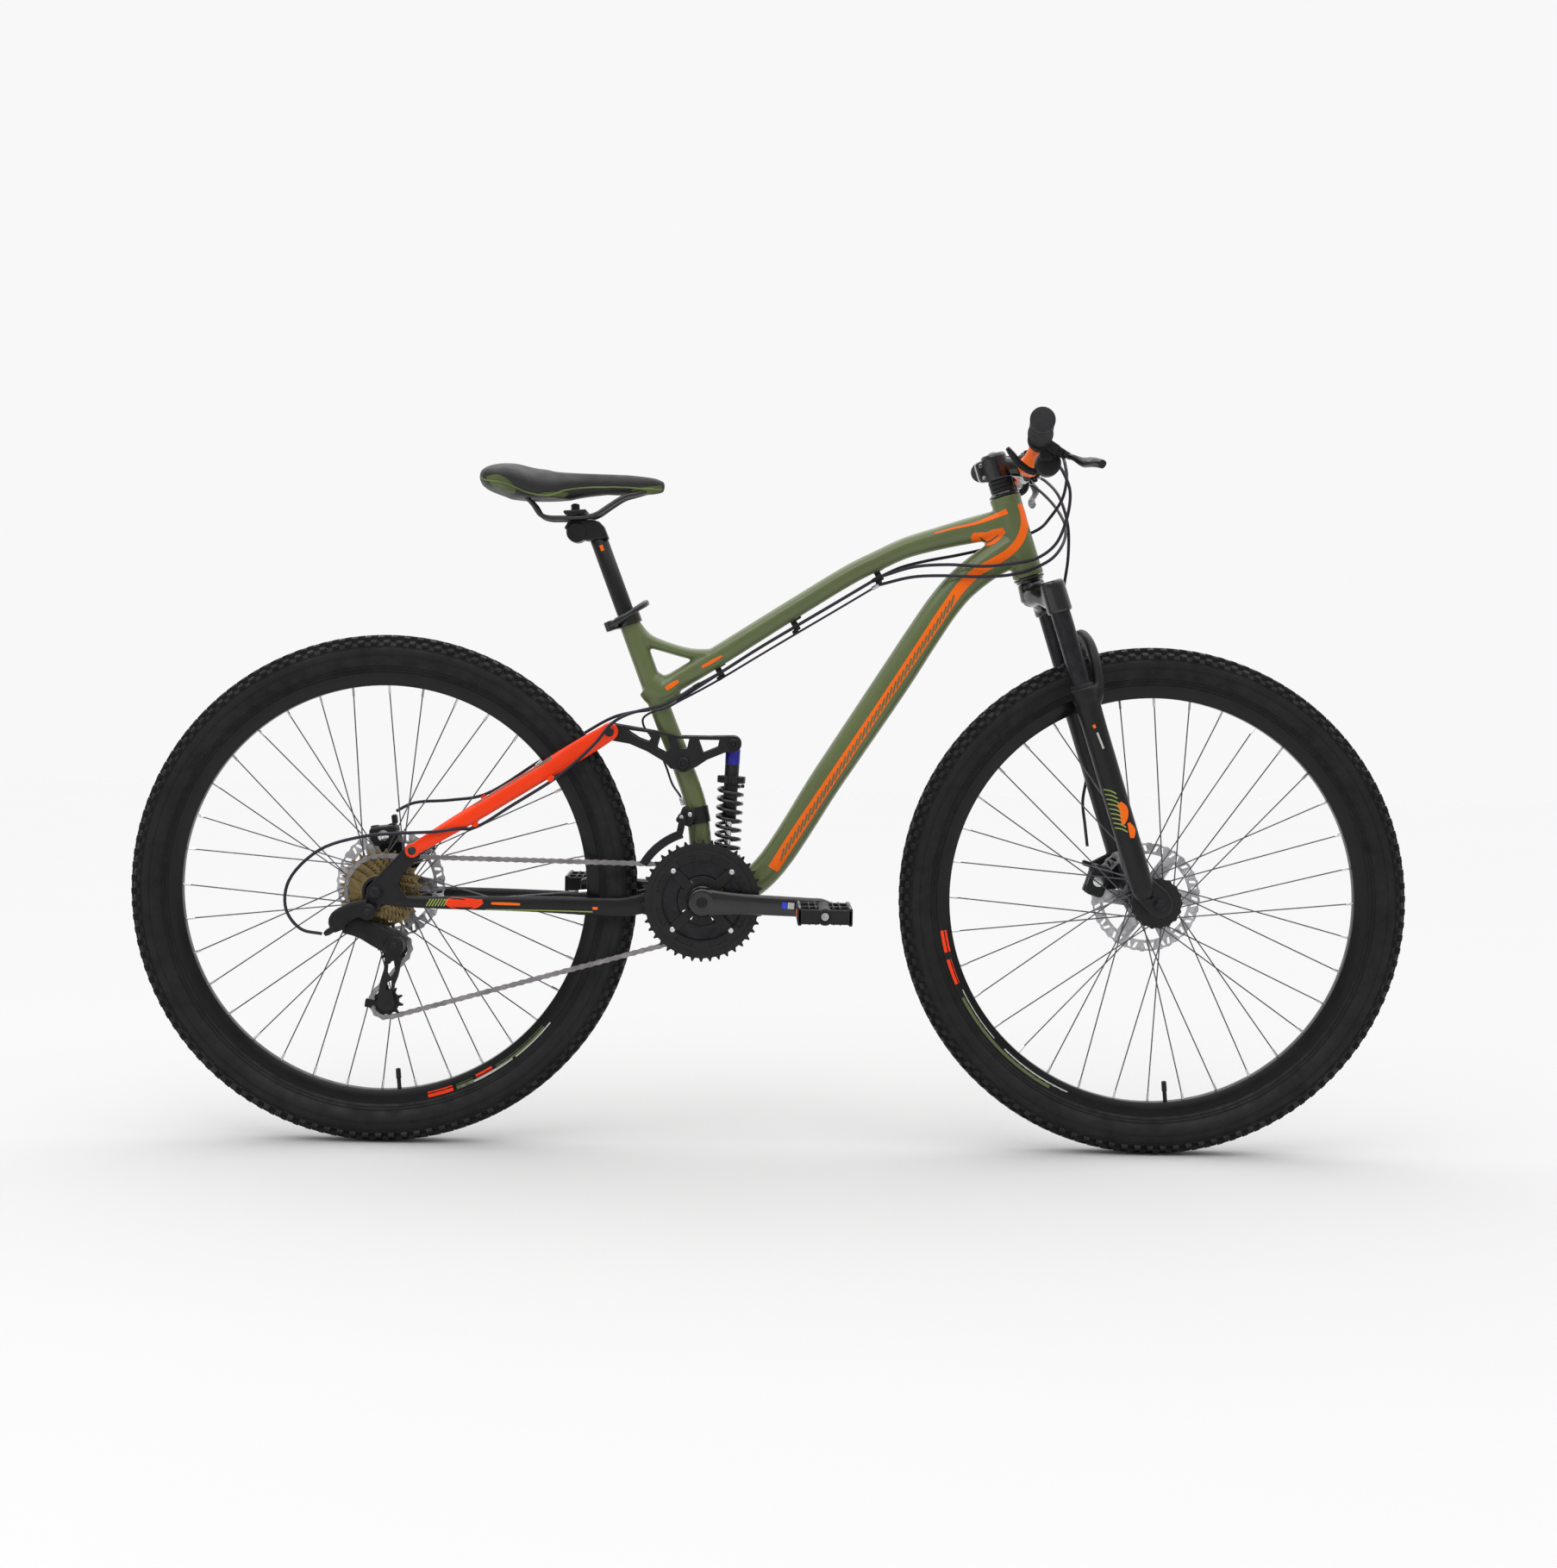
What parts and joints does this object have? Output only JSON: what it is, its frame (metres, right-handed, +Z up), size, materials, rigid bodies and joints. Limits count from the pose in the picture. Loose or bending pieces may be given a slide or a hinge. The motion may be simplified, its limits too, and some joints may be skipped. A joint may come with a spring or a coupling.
{
  "type": "full_suspension_mountain_bicycle",
  "caption": "Full-suspension mountain bicycle with an aluminium frame, telescopic fork, coil rear shock, disc brakes, chain gearing, flat bar and padded saddle.",
  "frame": {"origin": "on the ground midway between the two wheel axles, in the bicycle's centre plane", "axes": "+X points forwards, +Y to the rider's left, +Z up"},
  "size_m": [1.833, 0.71, 1.028],
  "materials": {
    "olive_paint": "gloss",
    "orange_paint": "gloss",
    "black_paint": "satin",
    "black_plastic": "matt",
    "dark_metal": "anodised",
    "steel": "brushed",
    "chrome": "polished",
    "bronze_steel": "bronze tone",
    "chain_steel": "bare",
    "rim_black": "satin",
    "tyre_rubber": "matt",
    "grip_rubber": "matt",
    "saddle_cover": "matt",
    "cable_housing": "satin"
  },
  "bodies": {
    "frame": {"main_frame": "olive_paint", "headset_upper_cup": "black_paint", "headset_lower_cup": "black_paint", "bottom_bracket": "dark_metal", "seat_collar": "black_paint", "front_derailleur_body": "dark_metal", "chain": "chain_steel", "rear_brake_cable": "cable_housing", "rear_shift_cable": "cable_housing", "front_shift_cable": "cable_housing"},
    "seat_clamp_lever": {"seat_clamp_lever": "black_paint"},
    "front_derailleur_cage": {"front_derailleur_cage": "dark_metal"},
    "seatpost": {"seatpost": "black_paint"},
    "saddle": {"saddle": "saddle_cover", "saddle_rails": "black_paint", "saddle_clamp": "dark_metal"},
    "steering": {"fork_uppers": "black_paint", "stem": "black_paint", "stem_faceplate": "black_paint", "handlebar": "black_paint", "grip_right": "grip_rubber", "grip_left": "grip_rubber", "control_housing_right": "black_plastic", "control_housing_left": "black_plastic", "front_brake_cable": "cable_housing"},
    "brake_lever_right": {"brake_lever_right": "dark_metal"},
    "brake_lever_left": {"brake_lever_left": "dark_metal"},
    "shift_lever_right": {"shift_lever_right": "black_plastic"},
    "shift_lever_left": {"shift_lever_left": "black_plastic"},
    "fork_lowers": {"fork_lowers": "black_paint", "front_axle": "dark_metal", "front_brake_caliper": "black_paint"},
    "front_wheel": {"front_hub": "black_paint", "front_rim": "rim_black", "front_tyre": "tyre_rubber", "front_rotor": "steel"},
    "swingarm": {"swingarm": "black_paint", "rear_axle": "dark_metal", "rear_brake_caliper": "black_paint"},
    "rear_wheel": {"rear_hub": "black_paint", "rear_rim": "rim_black", "rear_tyre": "tyre_rubber", "rear_rotor": "steel"},
    "freewheel": {"freewheel": "bronze_steel"},
    "rear_derailleur": {"rear_derailleur_body": "dark_metal"},
    "derailleur_cage": {"rear_derailleur_cage": "dark_metal"},
    "guide_pulley": {"guide_pulley": "black_plastic"},
    "tension_pulley": {"tension_pulley": "black_plastic"},
    "seatstay": {"seatstay": "orange_paint"},
    "rocker": {"rocker_right": "black_paint", "rocker_left": "black_paint"},
    "shock_body": {"shock_body": "dark_metal", "shock_spring": "black_paint"},
    "shock_shaft": {"shock_shaft": "chrome"},
    "crankset": {"crankset_right": "black_paint", "crank_arm_left": "black_paint", "chainring_outer": "black_paint", "chainring_inner_pair": "dark_metal"},
    "pedal_right": {"pedal_right": "black_plastic"},
    "pedal_left": {"pedal_left": "black_plastic"}
  },
  "joints": [
    {"name": "steering", "type": "hinge", "parent": "frame", "child": "steering", "pos_m": [0.3681, 0, 0.8276], "axis": [-0.3007, 0, 0.9537], "range_deg": [-70, 70], "deforming": ["rear_brake_cable", "rear_shift_cable", "front_shift_cable", "front_brake_cable"]},
    {"name": "fork_travel", "type": "slide", "parent": "steering", "child": "fork_lowers", "axis": [-0.3007, 0, 0.9537], "range_m": [0, 0.08], "stiffness_N_per_m": 5000, "springref_m": -0.01},
    {"name": "front_wheel_spin", "type": "hinge", "parent": "fork_lowers", "child": "front_wheel", "pos_m": [0.5525, 0, 0.364], "axis": [0, 1, 0], "continuous": true},
    {"name": "brake_lever_right", "type": "hinge", "parent": "steering", "child": "brake_lever_right", "pos_m": [0.3923, -0.191, 0.9834], "axis": [-0.5447, 0, -0.8386], "range_deg": [0, 20], "stiffness_Nm_per_rad": 1.5, "springref_deg": -5.73},
    {"name": "brake_lever_left", "type": "hinge", "parent": "steering", "child": "brake_lever_left", "pos_m": [0.3923, 0.191, 0.9834], "axis": [0.5447, 0, 0.8386], "range_deg": [0, 20], "stiffness_Nm_per_rad": 1.5, "springref_deg": -5.73},
    {"name": "shift_lever_right", "type": "hinge", "parent": "steering", "child": "shift_lever_right", "pos_m": [0.37, -0.15, 0.974], "axis": [0, 1, 0], "range_deg": [0, 25], "stiffness_Nm_per_rad": 0.5, "springref_deg": -5.73},
    {"name": "shift_lever_left", "type": "hinge", "parent": "steering", "child": "shift_lever_left", "pos_m": [0.37, 0.15, 0.974], "axis": [0, 1, 0], "range_deg": [0, 25], "stiffness_Nm_per_rad": 0.5, "springref_deg": -5.73},
    {"name": "seat_clamp_lever", "type": "hinge", "parent": "frame", "child": "seat_clamp_lever", "pos_m": [-0.2337, -0.016, 0.7458], "axis": [0.3584, 0, -0.9336], "range_deg": [0, 120]},
    {"name": "seatpost_slide", "type": "slide", "parent": "frame", "child": "seatpost", "axis": [-0.3584, 0, 0.9336], "range_m": [-0.04, 0.03]},
    {"name": "saddle_tilt", "type": "hinge", "parent": "seatpost", "child": "saddle", "pos_m": [-0.284, 0, 0.88], "axis": [0, 1, 0], "range_deg": [-8, 8]},
    {"name": "swingarm_pivot", "type": "hinge", "parent": "frame", "child": "swingarm", "pos_m": [-0.14, 0, 0.36], "axis": [0, 1, 0], "range_deg": [0, 14], "stiffness_Nm_per_rad": 2500, "springref_deg": -1.15, "deforming": ["chain"]},
    {"name": "rear_wheel_spin", "type": "hinge", "parent": "swingarm", "child": "rear_wheel", "pos_m": [-0.5525, 0, 0.364], "axis": [0, 1, 0], "continuous": true},
    {"name": "freewheel_spin", "type": "hinge", "parent": "swingarm", "child": "freewheel", "pos_m": [-0.5525, 0, 0.364], "axis": [0, 1, 0], "continuous": true},
    {"name": "seatstay_pivot", "type": "hinge", "parent": "swingarm", "child": "seatstay", "pos_m": [-0.502, 0, 0.4245], "axis": [0, 1, 0], "range_deg": [-7.7, 0]},
    {"name": "rocker_pivot", "type": "hinge", "parent": "frame", "child": "rocker", "pos_m": [-0.125, 0, 0.5506], "axis": [0, 1, 0], "range_deg": [0, 34.6]},
    {"name": "shock_pivot", "type": "hinge", "parent": "rocker", "child": "shock_body", "pos_m": [-0.0535, 0, 0.5795], "axis": [0, 1, 0], "range_deg": [-31.6, 0]},
    {"name": "shock_stroke", "type": "slide", "parent": "shock_body", "child": "shock_shaft", "axis": [0.0453, 0, 0.999], "range_m": [0, 0.0447], "deforming": ["shock_spring"]},
    {"name": "crank_spin", "type": "hinge", "parent": "frame", "child": "crankset", "pos_m": [-0.094, 0, 0.358], "axis": [0, 1, 0], "continuous": true},
    {"name": "pedal_right_spin", "type": "hinge", "parent": "crankset", "child": "pedal_right", "pos_m": [0.0759, 0, 0.35207], "axis": [0, 1, 0], "continuous": true},
    {"name": "pedal_left_spin", "type": "hinge", "parent": "crankset", "child": "pedal_left", "pos_m": [-0.2639, 0, 0.36393], "axis": [0, 1, 0], "continuous": true},
    {"name": "rear_derailleur_pivot", "type": "hinge", "parent": "swingarm", "child": "rear_derailleur", "pos_m": [-0.562, 0, 0.338], "axis": [0, 1, 0], "range_deg": [-5, 15], "stiffness_Nm_per_rad": 4, "springref_deg": -11.46},
    {"name": "derailleur_cage_pivot", "type": "hinge", "parent": "rear_derailleur", "child": "derailleur_cage", "pos_m": [-0.527, 0, 0.289], "axis": [0, 1, 0], "range_deg": [-45, 15], "stiffness_Nm_per_rad": 1.5, "springref_deg": 17.19},
    {"name": "guide_pulley_spin", "type": "hinge", "parent": "derailleur_cage", "child": "guide_pulley", "pos_m": [-0.531, 0, 0.282], "axis": [0, 1, 0], "continuous": true},
    {"name": "tension_pulley_spin", "type": "hinge", "parent": "derailleur_cage", "child": "tension_pulley", "pos_m": [-0.541, 0, 0.205], "axis": [0, 1, 0], "continuous": true},
    {"name": "front_derailleur_cage", "type": "hinge", "parent": "frame", "child": "front_derailleur_cage", "pos_m": [-0.126, -0.033, 0.466], "axis": [-1, 0, 0], "range_deg": [0, 8], "stiffness_Nm_per_rad": 1, "springref_deg": -5.73}
  ],
  "couplings": [
    {"joint": "freewheel_spin", "follows": "crank_spin", "ratio": 1},
    {"joint": "guide_pulley_spin", "follows": "crank_spin", "ratio": -2.1818},
    {"joint": "tension_pulley_spin", "follows": "crank_spin", "ratio": 2.1818},
    {"joint": "seatstay_pivot", "follows": "swingarm_pivot", "ratio": -0.545},
    {"joint": "rocker_pivot", "follows": "swingarm_pivot", "ratio": 2.47},
    {"joint": "shock_pivot", "follows": "swingarm_pivot", "ratio": -2.25},
    {"joint": "shock_stroke", "follows": "swingarm_pivot", "m_per_rad": 0.1825}
  ]
}
